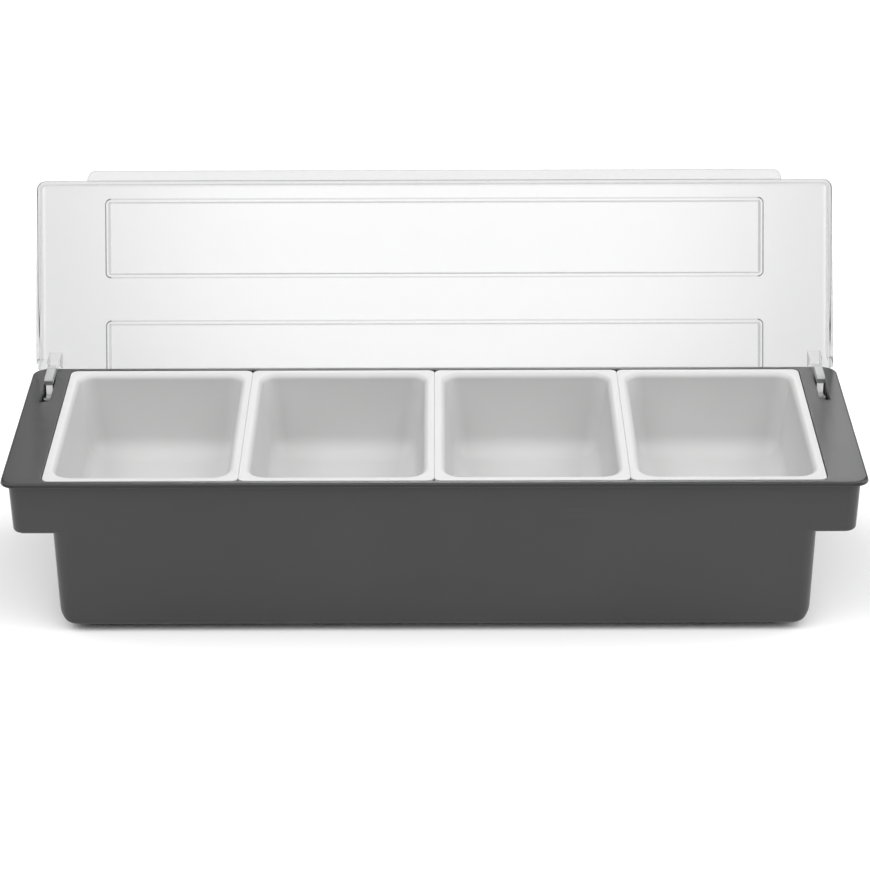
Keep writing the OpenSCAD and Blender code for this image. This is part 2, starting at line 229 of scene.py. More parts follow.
class CaddyHingeSettings(bpy.types.PropertyGroup):
    """Sizes and finish of the hinge arms, slots and pins"""

    pivot_y: length("Pivot depth", "Pivot behind the base's middle", (PIN_LOW.y + PIN_HIGH.y) / 2)
    pivot_z: length("Pivot height", "Pivot above the underside", (PIN_LOW.z + PIN_HIGH.z) / 2)
    arm_x: length("Arm place", "Middle of an arm from the middle of the base", 0.2255)
    leg_wide: length("Leg width", "Width of the upright leg", 0.0032)
    leg_deep: length("Leg depth", "Depth of the upright leg", 0.005)
    bar_wide: length("Bar width", "Width of the bar that crosses the deck", 0.005)
    bar_low: length("Bar underside", "Height of the bar's underside above the pivot", 0.0108)
    bar_high: length("Bar top", "Height of the bar's top above the pivot", 0.0146)
    root_wide: length("Root width", "Width of the arm where it meets the plate", 0.0076)
    root_start: length("Root start", "Where the bar starts to widen, behind the pivot", 0.0208)
    root_taper: length("Root taper", "Length over which the bar widens", 0.003)
    rib_start: length("Rib start", "Where the rib under the bar starts", 0.025)
    eye_wide: length("Eye width", "Width of the eye round the pin", 0.0038)
    eye: length("Eye radius", "Radius of the eye round the pin", 0.0045)
    bore: length("Bore radius", "Radius of the eye's bore", 0.00207)
    deck_drop: length("Deck drop", "Height of the deck above the pivot", 0.010)
    slot_front: length("Slot front", "Front end of the slot from the middle", 0.0301)
    slot_back: length("Slot back", "Rear end of the slot from the middle", 0.0605)
    slot_wide: length("Slot width", "Width of the slot", 0.0058)
    lug: length("Lug radius", "Radius of the lugs under the deck", 0.0055)
    lug_wide: length("Lug width", "Width of the inner lug", 0.0034)
    pin_tint: colour("Steel", "Colour of the pins", (0.62, 0.63, 0.65))


class CaddyStageSettings(bpy.types.PropertyGroup):
    """Floor, light and camera"""

    floor_size: length("Floor size", "Side of the floor", 16.0)
    floor_tint: colour("Floor", "Colour of the floor", (0.93, 0.93, 0.93))
    sky: FloatProperty(
        name="Sky", description="Brightness of the even light from all round", default=0.03, min=0.0
    )
    lens: FloatProperty(name="Lens", description="Focal length, in millimetres", default=119.23)
    distance: length("Distance", "From the camera to what it looks at", 1.6401)
    target_high: length("Target height", "Height that the camera looks at", 0.0829)
    elevation: turn("Elevation", "Height of the camera above the horizon", 25.57)
    yaw: turn("Yaw", "Turn of the camera round the caddy", 0.193)
    roll: turn("Roll", "Turn of the camera about its own axis", -0.24)
    shift: FloatProperty(name="Shift", description="Sideways shift of the frame", default=0.00058)


class CaddySettings(bpy.types.PropertyGroup):
    """All settings of the caddy"""

    base: PointerProperty(type=CaddyBaseSettings)
    inserts: PointerProperty(type=CaddyInsertSettings)
    lid: PointerProperty(type=CaddyLidSettings)
    hinge: PointerProperty(type=CaddyHingeSettings)
    stage: PointerProperty(type=CaddyStageSettings)


def in_mm(group):
    """A group's settings, with its lengths in millimetres."""
    values = {}
    for name, item in group.bl_rna.properties.items():
        if name in ("rna_type", "name"):
            continue
        value = getattr(group, name)
        values[name] = round(value / MM, 4) if getattr(item, "unit", "") == "LENGTH" else value
    return SimpleNamespace(**values)


def box_in_mm(node):
    """A CAD node's lowest and highest corners in millimetres."""
    return [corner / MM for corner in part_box(node)]


# Shapes


def place(ring, section):
    """Lays a ring round a section.

    A section is its width, depth, corner radius, height, the middle's x and y, and slope along y.
    """
    wide, deep, radius, z, x, y, slope = (*section, 0.0, 0.0, 0.0)[:7]
    per_corner = len(ring) // 4
    for number, point in enumerate(ring):
        corner, step = divmod(number, per_corner)
        angle = math.pi / 2 * (corner + 1 + step / (per_corner - 1))
        side_x = -1 if corner < 2 else 1
        side_y = 1 if corner in (0, 3) else -1
        along = y + side_y * (deep / 2 - radius) + radius * math.sin(angle)
        across = x + side_x * (wide / 2 - radius) + radius * math.cos(angle)
        point.co = (across, along, z + slope * along)


def edges_of(bm, ring):
    """The edges between a ring's points."""
    return [bm.edges.get(pair) for pair in zip(ring, ring[1:] + ring[:1])]


def extend(bm, ring):
    """Extrudes a ring and returns the new one, in the same order."""
    made = bmesh.ops.extrude_edge_only(bm, edges=edges_of(bm, ring))["geom"]
    fresh = {item for item in made if isinstance(item, bmesh.types.BMVert)}
    return [
        next(edge.other_vert(point) for edge in point.link_edges if edge.other_vert(point) in fresh)
        for point in ring
    ]


def rounded(points, steps=ROUND_STEPS):
    """A profile of (inset, height, radius) points, with each corner turned on its radius."""
    line = []
    for number, (inset, high, radius) in enumerate(points):
        if radius <= 0:
            line.append((inset, high))
            continue
        here = Vector((inset, high))
        before = (Vector(points[number - 1][:2]) - here).normalized()
        after = (Vector(points[number + 1][:2]) - here).normalized()
        half = before.angle(after) / 2
        middle = here + (before + after).normalized() * (radius / math.sin(half))
        start = here + before * (radius / math.tan(half)) - middle
        end = here + after * (radius / math.tan(half)) - middle
        sweep = math.copysign(math.pi - 2 * half, start.x * end.y - start.y * end.x)
        for step in range(steps + 1):
            arm = start.copy()
            arm.rotate(Matrix.Rotation(sweep * step / steps, 2))
            line.append(tuple(middle + arm))
    return line


def stepped(wide, deep, corner, profile, widest=math.inf):
    """Sections of an outline that follows a profile of (inset, height)."""
    return [
        (wide - 2 * inset, deep - 2 * inset, max(TIGHTEST, min(corner - inset, widest)), high)
        for inset, high in profile
    ]


def disc(wide):
    """Width, depth and corner radius of a round outline."""
    return wide, wide, wide / 2 - SLIVER


def half_width(wide, high, radius, draft, level):
    """Half a tub's width at a level: a rounded lower edge, then a wall that leans out."""
    lean = math.atan(draft / high)
    centre = wide / 2 - draft - radius * (1 - math.sin(lean)) / math.cos(lean)
    if level < radius * (1 - math.sin(lean)):
        return centre + math.sqrt(max(0.0, radius**2 - (radius - level) ** 2))
    return wide / 2 - draft * (1 - level / high)


def tub(wide, deep, high, corner, rounds, drafts, floor, tightest=2.0):
    """Sections of a tub from its floor up.

    Its ends and its long sides each have an edge radius and a draft of their own.
    """
    levels = {high}
    for radius in rounds:
        for step in range(CORNER_STEPS + 1):
            turned = math.pi / 2 * step / CORNER_STEPS
            levels.add(round(radius * (1 - math.cos(turned)), 4))
    sections = []
    for level in sorted(levels):
        half_x = half_width(wide, high, rounds[0], drafts[0], level)
        half_y = half_width(deep, high, rounds[1], drafts[1], level)
        drawn_in = wide / 2 - drafts[0] * (1 - level / high) - half_x
        radius = max(min(tightest, corner), corner - drawn_in)
        sections.append((2 * half_x, 2 * half_y, radius, floor + level))
    return sections


def solid(bm):
    """A closed mesh as a loose object in millimetres, for joining and cutting."""
    bmesh.ops.remove_doubles(bm, verts=bm.verts, dist=MERGE)
    bmesh.ops.dissolve_degenerate(bm, dist=MERGE, edges=bm.edges)
    bmesh.ops.recalc_face_normals(bm, faces=bm.faces)
    mesh = bpy.data.meshes.new("part")
    bm.to_mesh(mesh)
    bm.free()
    part = bpy.data.objects.new("part", mesh)
    bpy.context.scene.collection.objects.link(part)
    return part


def lofted(sections, matrix=None, steps=CORNER_STEPS):
    """A closed solid through round-cornered sections, capped at both ends, as a loose object."""
    bm = bmesh.new()
    ring = bmesh.ops.create_circle(bm, segments=4 * (steps + 1), radius=1.0)["verts"]
    place(ring, sections[0])
    bmesh.ops.edgeloop_fill(bm, edges=edges_of(bm, ring))
    for section in sections[1:]:
        ring = extend(bm, ring)
        place(ring, section)
    bmesh.ops.edgeloop_fill(bm, edges=edges_of(bm, ring))
    if matrix:
        bmesh.ops.transform(bm, matrix=matrix, verts=bm.verts)
    return solid(bm)


def runs_across(edge, axis):
    """Whether an edge's two ends are level with each other along an axis."""
    first, second = edge.verts
    return abs(first.co[axis] - second.co[axis]) < MERGE


def bevel(bm, edges, size, segments):
    """Rounds edges of a mesh."""
    bmesh.ops.bevel(
        bm, geom=edges, offset=size, segments=segments, profile=0.5, affect="EDGES", material=-1
    )


def rod(radius, start, end, chamfer=0.0, segments=48):
    """A rod along X as a loose object, with its two ends chamfered."""
    bm = bmesh.new()
    half = (end - start) / 2
    bmesh.ops.create_cone(
        bm, cap_ends=True, segments=segments, radius1=radius, radius2=radius, depth=2 * half
    )
    if chamfer > 0:
        rims = [edge for edge in bm.edges
                if abs(abs(edge.verts[0].co.z) - half) < MERGE and runs_across(edge, Z)]
        bevel(bm, rims, chamfer, 2)
    middle = Matrix.Translation((start + half, 0, 0)) @ Matrix.Rotation(math.pi / 2, 4, "Y")
    bmesh.ops.transform(bm, matrix=middle, verts=bm.verts)
    return solid(bm)


def drawn_out(outline, way):
    """A flat outline of points, drawn out along a vector."""
    bm = bmesh.new()
    face = bm.faces.new([bm.verts.new(point) for point in outline])
    made = bmesh.ops.extrude_face_region(bm, geom=[face])["geom"]
    points = [item for item in made if isinstance(item, bmesh.types.BMVert)]
    bmesh.ops.translate(bm, verts=points, vec=way)
    return bm


def prism(outline, low, high, rounding=0.0):
    """A side view of (y, z) points as a solid from x low to x high, with its side edges rounded."""
    bm = drawn_out([(low, y, z) for y, z in outline], (high - low, 0, 0))
    if rounding > 0:
        bevel(bm, [edge for edge in bm.edges if runs_across(edge, X)], rounding, 3)
    return solid(bm)


def combine(body, operation, *tools):
    """Joins tools to a loose object or cuts them from it, and removes them."""
    for tool in tools:
        step = body.modifiers.new("Combine", "BOOLEAN")
        step.operation = operation
        step.solver = "EXACT"
        step.object = tool
        bpy.context.view_layer.update()
        ready = body.evaluated_get(bpy.context.evaluated_depsgraph_get())
        made, old = bpy.data.meshes.new_from_object(ready), body.data
        body.modifiers.clear()
        body.data = made
        spare = tool.data
        bpy.data.objects.remove(tool)
        bpy.data.meshes.remove(spare)
        bpy.data.meshes.remove(old)
    return body


def finish(part, name, material, body, nodes, move=None):
    """Turns a loose object into a named piece in metres, shaded, coloured and on its body."""
    mesh = part.data
    if move:
        mesh.transform(move)
    mesh.transform(Matrix.Scale(MM, 4))
    bm = bmesh.new()
    bm.from_mesh(mesh)
    bmesh.ops.remove_doubles(bm, verts=bm.verts, dist=MERGE * MM)
    bmesh.ops.dissolve_degenerate(bm, dist=MERGE * MM, edges=bm.edges)
    if not bm.faces:
        raise RuntimeError(f"{name} came out with no faces")
    for face in bm.faces:
        face.smooth = True
    for edge in bm.edges:
        edge.smooth = len(edge.link_faces) == 2 and edge.calc_face_angle(0) < CREASE
    bm.to_mesh(mesh)
    bm.free()
    mesh.name = part.name = name
    mesh.materials.clear()
    mesh.materials.append(material)
    even = part.modifiers.new("Even shading", "WEIGHTED_NORMAL")
    even.keep_sharp = True
    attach(part, body)
    if nodes:
        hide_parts(*nodes)


# Materials


def fill(tree, node, inputs):
    """Gives a node's inputs their values, or links them to other nodes' outputs."""
    for name, value in inputs.items():
        if isinstance(value, bpy.types.NodeSocket):
            tree.links.new(value, node.inputs[name])
        else:
            node.inputs[name].default_value = value


def add(tree, kind, inputs, **settings):
    """A new shader node with its settings and its inputs."""
    node = tree.nodes.new("ShaderNode" + kind)
    for name, value in settings.items():
        setattr(node, name, value)
    fill(tree, node, inputs)
    return node


def maths(tree, operation, *values):
    """The result of a sum on numbers or masks."""
    return add(tree, "Math", dict(enumerate(values)), operation=operation).outputs[0]


def noise(tree, where, scale, detail, distortion=0.0):
    """A cloudy pattern."""
    inputs = {"Vector": where, "Scale": scale, "Detail": detail, "Distortion": distortion}
    return add(tree, "TexNoise", inputs).outputs[0]


def remap(tree, value, start, end, low=0.0, high=1.0, **settings):
    """A value that goes from low to high as another goes from start to end."""
    inputs = {"Value": value, "From Min": start, "From Max": end, "To Min": low, "To Max": high}
    return add(tree, "MapRange", inputs, **settings).outputs[0]


def spread(tree, mask, low, high):
    """A 0 to 1 mask as a value between low and high."""
    return remap(tree, mask, 0.0, 1.0, low, high)


def ramp(tree, value, start, end):
    """A mask that goes from 0 to 1 along an Object coordinate, from start to end in millimetres."""
    return remap(tree, value, start * MM, end * MM)


def both(tree, *masks):
    """Masks multiplied together."""
    total = masks[0]
    for mask in masks[1:]:
        total = maths(tree, "MULTIPLY", total, mask)
    return total


def blend(tree, mask, first, second):
    """Two colours mixed by a mask."""
    inputs = {"Factor": mask, 6: first, 7: second}
    return add(tree, "Mix", inputs, data_type="RGBA").outputs[2]


def bump(tree, height, strength, distance):
    """Normals bent by a pattern's height."""
    inputs = {"Height": height, "Strength": strength, "Distance": distance}
    return add(tree, "Bump", inputs).outputs[0]


def object_place(tree):
    """The place of a point in the caddy's frame, in metres."""
    return add(tree, "TexCoord", {}).outputs["Object"]


def moulded_skin():
    """Grain, flow marks and hairline scuffs of a moulded surface, as a node group."""
    name = "Moulded skin"
    tree = bpy.data.node_groups.get(name)
    if tree:
        return tree
    tree = bpy.data.node_groups.new(name, "ShaderNodeTree")
    for socket in ("Grain Scale", "Flow Scale", "Scuffs"):
        tree.interface.new_socket(socket, in_out="INPUT", socket_type="NodeSocketFloat")
    for socket in ("Grain", "Flow", "Scuff"):
        tree.interface.new_socket(socket, in_out="OUTPUT", socket_type="NodeSocketFloat")
    given = tree.nodes.new("NodeGroupInput").outputs
    where = object_place(tree)
    along = add(tree, "Mapping", {
        "Vector": where, "Scale": (9.0, 260.0, 200.0), "Rotation": (0.0, 0.0, 0.35)
    }).outputs[0]
    hairs = remap(tree, noise(tree, along, 1.0, 2.0), 0.66, 0.74)
    patches = remap(tree, noise(tree, where, 22.0, 1.0), 0.5, 0.7)
    fill(tree, tree.nodes.new("NodeGroupOutput"), {
        "Grain": noise(tree, where, given["Grain Scale"], 2.0),
        "Flow": noise(tree, where, given["Flow Scale"], 3.0, 0.6),
        "Scuff": both(tree, hairs, patches, given["Scuffs"]),
    })
    return tree


def skin(tree, grain, flow, scuffs):
    """The outputs of the moulded skin group, set for one material."""
    inputs = {"Grain Scale": grain, "Flow Scale": flow, "Scuffs": scuffs}
    return add(tree, "Group", inputs, node_tree=moulded_skin()).outputs


def new_material(name):
    """A new material, its tree and its Principled shader."""
    material = bpy.data.materials.new(name)
    material.use_nodes = True
    tree = material.node_tree
    return material, tree, tree.nodes["Principled BSDF"]


def plastic(name, tints, ior, roughness, relief, **scales):
    """A moulded opaque plastic or rubber, from its colour, its paler colour and its scuffs'."""
    material, tree, shader = new_material(name)
    marks = skin(tree, **scales)
    tint, tint_pale, scuff_tint = (tuple(tint) for tint in tints)
    body = blend(tree, spread(tree, marks["Flow"], *FLOW_RANGE), tint, tint_pale)
    satin = spread(tree, marks["Flow"], roughness - SATIN, roughness + SATIN)
    fill(tree, shader, {
        "Base Color": blend(tree, marks["Scuff"], body, scuff_tint),
        "IOR": ior,
        "Roughness": maths(tree, "MULTIPLY_ADD", marks["Scuff"], SCUFF_ROUGH, satin),
        "Normal": bump(tree, marks["Grain"], relief, GRAIN_HIGH),
    })
    return material


def charcoal_plastic(settings):
    """Dark satin plastic of the base."""
    tints = (settings.tint, settings.tint_pale, (0.09, 0.09, 0.09, 1.0))
    return plastic("Charcoal ABS", tints, 1.45, 0.30, 0.35, grain=2600.0, flow=9.0, scuffs=0.08)


def white_plastic(settings):
    """White waxy plastic of the inserts."""
    tints = (settings.tint, settings.tint_pale, (0.70, 0.70, 0.69, 1.0))
    return plastic(
        "White polypropylene", tints, 1.42, 0.48, 0.25, grain=1800.0, flow=12.0, scuffs=0.2
    )


def foot_rubber():
    """Dull moulded rubber."""
    tints = ((0.018, 0.018, 0.018, 1.0), (0.028, 0.028, 0.028, 1.0), (0.06, 0.06, 0.06, 1.0))
    return plastic("Moulded rubber", tints, 1.5, 0.82, 0.5, grain=3000.0, flow=120.0, scuffs=0.2)


def clear_plastic(settings):
    """Clear polycarbonate of the lid, with painted shade where its walls are seen edge on, standing
    in for the dark lines that refraction makes there.
    """
    material, tree, shader = new_material("Clear polycarbonate")
    marks = skin(tree, 900.0, 20.0, 0.2)
    # painted shade: faces that turn from the plate take the dark edge colour as they are seen edge
    # on, standing in for the dark lines that refraction makes there
    slant = add(tree, "LayerWeight", {"Blend": 0.5}).outputs["Facing"]
    walls = add(tree, "Attribute", {}, attribute_name=EDGE_SHADE_SHARE).outputs["Fac"]
    deep = both(tree, remap(tree, slant, 0.05, 0.25), walls)
    fill(tree, shader, {
        "Base Color": blend(tree, deep, tuple(settings.tint), tuple(settings.edge_shade)),
        "Transmission Weight": 1.0,
        "IOR": 1.05,  # little bending, so that what is behind the lid stays in its place
        "Roughness": maths(tree, "MULTIPLY_ADD", marks["Scuff"], 0.25, 0.02),
        "Normal": bump(tree, marks["Flow"], 0.05, 0.0006),
        "Coat Weight": 1.0,
        "Coat IOR": 1.586,
        "Coat Roughness": 0.03,
    })
    passed = add(tree, "BsdfTransparent", {"Color": (0.95, 0.95, 0.952, 1.0)}).outputs[0]
    rays = add(tree, "LightPath", {}).outputs
    soft = maths(tree, "MAXIMUM", rays["Is Shadow Ray"], rays["Is Diffuse Ray"])
    mixed = add(tree, "MixShader", {0: soft, 1: shader.outputs[0], 2: passed}).outputs[0]
    fill(tree, tree.nodes["Material Output"], {"Surface": mixed})
    return material


def frosted_plastic(settings, hinge):
    """Milky plastic of the hinge arms, fading into the plate, with painted shade on the bar's nose
    and the root's sides and a painted glow along the upright leg.
    """
    material, tree, shader = new_material("Frosted polycarbonate")
    marks = skin(tree, 1500.0, 60.0, 0.4)
    pale = (0.66, 0.665, 0.67, 1.0)
    at = add(tree, "SeparateXYZ", {0: object_place(tree)}).outputs
    x, y, z = maths(tree, "ABSOLUTE", at["X"]), at["Y"], at["Z"]
    face, leg_top = hinge.pivot_y - hinge.leg_deep / 2, hinge.pivot_z + hinge.bar_low
    # painted shade: a dark band on the bar's front nose, where the leg drops into the slot
    nose_shade = both(
        tree, ramp(tree, y, face + 1.0, face + 0.3),
        ramp(tree, z, leg_top - 0.4, leg_top + 0.1), ramp(tree, z, leg_top + 2.7, leg_top + 2.2),
    )
    outer, inner = hinge.arm_x + hinge.root_wide / 2, hinge.arm_x - hinge.root_wide / 2
    # painted shade: dark lines along the two sides of the arm's wide root
    sides = maths(
        tree, "ADD",
        ramp(tree, x, outer - 0.5, outer - 0.1), ramp(tree, x, inner + 0.5, inner + 0.1),
    )
    # both painted shade masks together: the nose band and the root's sides
    dark = maths(tree, "MAXIMUM", nose_shade, spread(tree, sides, 0.0, 0.75))
    root = ramp(tree, y, hinge.pivot_y + 12.0, hinge.pivot_y + 17.0)
    # painted glow: the upright leg in the slot is made to shine, though no lamp lights it there
    painted_glow = both(
        tree, ramp(tree, y, hinge.pivot_y + 5.0, hinge.pivot_y + 4.0),
        ramp(tree, z, leg_top + 0.2, leg_top - 0.8), ramp(tree, z, leg_top - 8.5, leg_top - 5.5),
    )
    milk = blend(tree, marks["Flow"], tuple(settings.frost_tint), pale)
    fill(tree, shader, {
        # the dark colour mixed in here is painted shade, not the plastic's own colour
        "Base Color": blend(tree, dark, milk, (0.12, 0.121, 0.123, 1.0)),
        # the root's sides are kept opaque so that their painted shade shows
        "Alpha": maths(
            tree, "MAXIMUM", spread(tree, root, 1.0, 0.1), spread(tree, sides, 0.0, 0.55)
        ),
        "Transmission Weight": 0.55,
        "IOR": 1.3,
        "Roughness": spread(tree, marks["Grain"], 0.25, 0.42),
        "Normal": bump(tree, marks["Grain"], 0.2, GRAIN_HIGH),
        # painted glow of the upright leg, given as emission
        "Emission Color": blend(tree, painted_glow, (0.0, 0.0, 0.0, 1.0), (0.28, 0.28, 0.28, 1.0)),
        "Emission Strength": 1.0,
    })
    return material


def pin_steel(settings):
    """Drawn stainless rod."""
    material, tree, shader = new_material("Drawn steel")
    marks = skin(tree, 3000.0, 300.0, 0.6)
    pale = (0.50, 0.51, 0.53, 1.0)
    fill(tree, shader, {
        "Base Color": blend(tree, marks["Flow"], tuple(settings.pin_tint), pale),
        "Metallic": 1.0,
        "Roughness": spread(tree, marks["Grain"], 0.18, 0.38),
    })
    return material


# Pieces


def base_outside(size):
    """The wings and rim joined to the lower body."""
    wide, deep = size.width - 2 * size.rim_over, size.depth - 2 * size.rim_over
    low, deck = size.height - size.skirt_high, size.height - size.rim_thick
    corner = size.rim_corner - size.rim_over / 2
    profile = rounded([
        (size.skirt_round + OVERLAP, low, 0), (0, low, size.skirt_round),
        (0, size.height - size.neck_low, 0), (size.neck, size.height - size.neck_high, 0),
        (size.neck, deck, size.edge_round), (-size.rim_over, deck, size.edge_round),
        (size.rim_lean - size.rim_over, size.height, size.rim_round),
        (corner - OVERLAP, size.height, 0),
    ])
    wings = []
    for across, along, radius, level in stepped(wide, deep, corner, profile, size.rim_corner):
        below = min(1, max(0, (deck - level) / (deck - low)))
        wings.append((across - 2 * size.skirt_draft * below, along, radius, level))
    rounds, drafts = (size.end_round, size.long_round), (size.body_draft, size.body_draft / 2)
    lower = tub(size.body_width, deep, low, size.body_corner, rounds, drafts, 0.0, tightest=5.0)
    top = (size.body_width, deep, size.body_corner, low + 2 * size.skirt_round)
    return combine(lofted(wings), "UNION", lofted([*lower, top]))


def ice_well(size):
    """The space inside the base: the well, its shoulder, the opening and the inserts' recess."""
    deep = size.depth - 2 * size.rim_over - 2 * size.body_wall
    wide, low = size.body_width - 2 * size.body_wall, size.height - size.skirt_high
    corner = size.body_corner - size.body_wall
    rounds = (size.end_round - size.body_wall, size.long_round)
    drafts = (size.body_draft, size.body_draft / 2)
    well = tub(wide, deep, low - size.floor, corner, rounds, drafts, size.floor)
    open_wide, open_deep = size.recess_width - 2 * size.ledge, size.recess_depth - 2 * size.ledge
    ledge, edge = size.height - size.ledge_drop, 0.5
    mouth = stepped(size.recess_width, size.recess_depth, size.recess_corner, rounded([
        (0, ledge, 0), (0, size.height, edge), (-edge - size.edge_round, size.height, 0),
    ]))
    return lofted([
        *well, (wide, deep, corner, low + SHOULDER[0]),
        (open_wide, deep, corner, low + SHOULDER[1]), (open_wide, open_deep, corner, ledge),
        *mouth, (*mouth[-1][:3], size.height + 5 * OVERLAP),
    ])


def wing_pocket(size, side):
    """The hollow under a wing."""
    deep = size.depth - 2 * size.rim_over - 2 * size.body_wall
    deck, low = size.height - size.rim_thick, size.height - size.skirt_high
    outer = size.width / 2 - size.rim_over - size.skirt_draft - size.skirt_wall
    inner = size.recess_width / 2 - size.ledge + size.body_wall
    under_ledge = size.recess_width / 2 + size.ledge
    corner = size.rim_corner - size.rim_over / 2 - size.body_wall
    neck, slope, (flare, rise) = size.height - size.neck_low, 0.2, POCKET_EDGE

    def section(start, grow, z):
        return (outer - start + 2 * grow, deep + 2 * grow, corner, z, side * (outer + start) / 2, 0)

    return lofted([
        section(inner, flare, low - 10 * OVERLAP), section(inner, flare, low),
        section(inner, 0, low + rise), section(inner, 0, neck - slope),
        section(under_ledge, 0, neck + slope),
        *(section(under_ledge, grow, deck - drop) for grow, drop in POCKET_ROOF),
    ])


def hinge_slot(size, hinge, side):
    """The slot that a hinge arm passes through, with a small chamfer at the deck."""
    across, drop = SLOT_CHAMFER
    wide, deep = hinge.slot_wide, hinge.slot_back - hinge.slot_front
    x, middle, deck = side * hinge.arm_x, (hinge.slot_back + hinge.slot_front) / 2, size.height
    slot = (wide, deep, SLOT_CORNER)
    mouth = (wide + 2 * across, deep + 2 * across, SLOT_CORNER + across)
    return lofted([
        (*slot, deck - 4 * OVERLAP, x, middle), (*slot, deck - drop, x, middle),
        (*mouth, deck, x, middle), (*mouth, deck + 3 * OVERLAP, x, middle),
    ], steps=4)


def lugs(size, hinge, side):
    """The two lugs under the deck that carry a pin."""
    clear = 0.1
    inner = hinge.arm_x - hinge.slot_wide / 2 - hinge.lug_wide - clear
    outer = hinge.arm_x + hinge.slot_wide / 2 + clear
    skirt = size.width / 2 - size.rim_over - size.skirt_wall / 2
    top = size.height - size.rim_thick / 2 - hinge.pivot_z
    made = []
    for start, end in ((inner, inner + hinge.lug_wide), (outer, skirt)):
        bm = bmesh.new()
        bmesh.ops.create_cube(bm, size=1.0)
        bmesh.ops.scale(bm, vec=(end - start, 2 * hinge.lug, top + hinge.lug), verts=bm.verts)
        low = [edge for edge in bm.edges
               if all(point.co.z < 0 for point in edge.verts) and runs_across(edge, Y)]
        bevel(bm, low, hinge.lug - 2 * SLIVER, 10)
        at = (side * (start + end) / 2, hinge.pivot_y, hinge.pivot_z + (top - hinge.lug) / 2)
        bmesh.ops.translate(bm, vec=at, verts=bm.verts)
        made.append(solid(bm))
    return made


def pin_hole(size, hinge, side):
    """The hole for a pin through both lugs and the skirt, countersunk outside."""
    face = size.width / 2 - size.rim_over
    radius = (PIN_HIGH.z - PIN_LOW.z) / 2 / MM + SLIVER
    inner = hinge.arm_x - hinge.slot_wide / 2 - hinge.lug_wide - OVERLAP
    made = []
    for grow, start in ((0.0, inner), (PIN_SINK, face - PIN_SINK)):
        hole = rod(radius + grow, *sorted((side * start, side * (face + OVERLAP))))
        hole.data.transform(Matrix.Translation((0, hinge.pivot_y, hinge.pivot_z)))
        made.append(hole)
    return made


class CADDY_OT_base(bpy.types.Operator):
    """Moulds the dark base with its wings, ice well and hinge slots"""

    bl_idname = "caddy.base"
    bl_label = "Base"

    def execute(self, context):
        settings = context.scene.caddy
        size, hinge = in_mm(settings.base), in_mm(settings.hinge)
        shell = base_outside(size)
        combine(shell, "DIFFERENCE", ice_well(size))
        for side in SIDES:
            combine(shell, "DIFFERENCE", wing_pocket(size, side), hinge_slot(size, hinge, side))
            combine(shell, "UNION", *lugs(size, hinge, side))
            combine(shell, "DIFFERENCE", *pin_hole(size, hinge, side))
        for node in FEET:
            low, high = box_in_mm(node)
            middle, seat = (low + high) / 2, disc(high.x - low.x + 0.1)
            combine(shell, "DIFFERENCE", lofted([
                (*seat, -2 * OVERLAP, middle.x, middle.y), (*seat, high.z, middle.x, middle.y)
            ]))
        material = charcoal_plastic(settings.base)
        finish(shell, "base_moulding", material, "caddy", ["base"])
        return {"FINISHED"}


def pan_sections(size, low, high):
    """Sections of an insert: up its outside, over the rim, round the lip and down its inside."""
    wide, deep, top = high.x - low.x + 2 * size.rim_reach, high.y - low.y, high.z
    mouth = (wide - 2 * size.rim, deep - 2 * size.rim)
    drafts = (size.end_draft, size.long_draft)
    outside = tub(
        mouth[0] + 2 * size.wall, mouth[1] + 2 * size.wall, size.high,
        size.mouth_corner + size.wall, [size.floor_round + size.wall] * 2, drafts, low.z,
        tightest=4.0,
    )
    inside = tub(
        *mouth, size.high - size.wall, size.mouth_corner, [size.floor_round] * 2, drafts,
        low.z + size.wall, tightest=3.0,
    )
    under, overhang, fillet = top - size.rim_thick, size.rim - size.wall, 0.6
    neck = (
        wide - 2 * overhang, deep - 2 * overhang, size.mouth_corner + size.wall, under - fillet
    )
    rim = stepped(wide, deep, size.rim_corner, rounded([
        (overhang - fillet, under, 0), (0, under, 0.3), (0, top, size.rim_round), (1.6, top, 0),
    ]))
    lip = []
    for step in range(LIP_STEPS, -1, -1):
        angle = math.pi / 2 * step / LIP_STEPS
        out, down = (size.lip_round * (1 - part) for part in (math.cos(angle), math.sin(angle)))
        lip.append((mouth[0] + 2 * out, mouth[1] + 2 * out, size.mouth_corner + out, top - down))
    return [*outside[:-1], neck, *rim, *lip, *inside[-2::-1]]


class CADDY_OT_inserts(bpy.types.Operator):
    """Moulds the four white lift-out inserts"""

    bl_idname = "caddy.inserts"
    bl_label = "Inserts"

    def execute(self, context):
        settings = context.scene.caddy.inserts
        size, material = in_mm(settings), white_plastic(settings)
        for node in INSERTS:
            low, high = box_in_mm(node)
            pan = lofted(pan_sections(size, low, high))
            middle = Matrix.Translation(((low.x + high.x) / 2, (low.y + high.y) / 2, 0))
            finish(pan, node + "_pan", material, node, [node], middle)
        return {"FINISHED"}


def edge_height(lid, y):
    """Height of the closed lid's lower edge at y along the plate."""
    return (lid.deck_gap - y * math.sin(lid.slope)) / math.cos(lid.slope)


